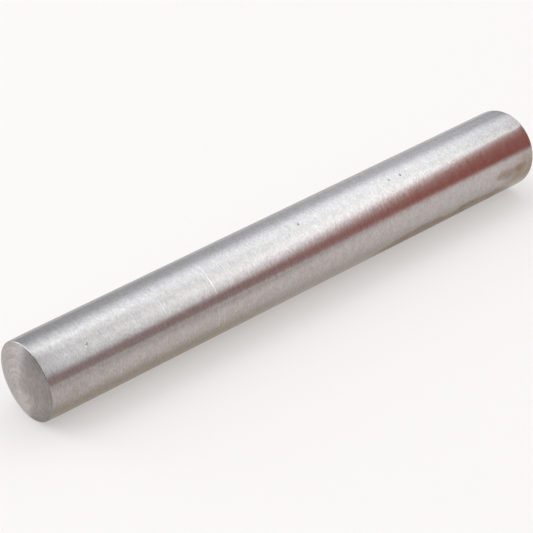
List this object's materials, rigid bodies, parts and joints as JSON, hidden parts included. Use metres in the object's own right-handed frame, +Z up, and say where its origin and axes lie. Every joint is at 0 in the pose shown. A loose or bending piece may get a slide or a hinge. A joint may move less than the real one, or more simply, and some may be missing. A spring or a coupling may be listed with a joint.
{
  "type": "taper pin",
  "caption": "Solid steel taper pin with a slightly tapered ground barrel and crowned ends, driven into a reamed hole to lock or align two parts.",
  "frame": {"origin": "centre of the small end's rim circle, where the crown meets the taper", "axes": "+X along the axis from the small end to the large end, +Z up as the pin lies on its side"},
  "size_m": [0.07, 0.0094, 0.0094],
  "materials": {
    "ground_steel": "fine grinding lines round the barrel, turned rings on the crowned ends, a few pits, ring scratches and light brown stains"
  },
  "bodies": {
    "root": {"taper_pin": "ground_steel"}
  },
  "joints": []
}
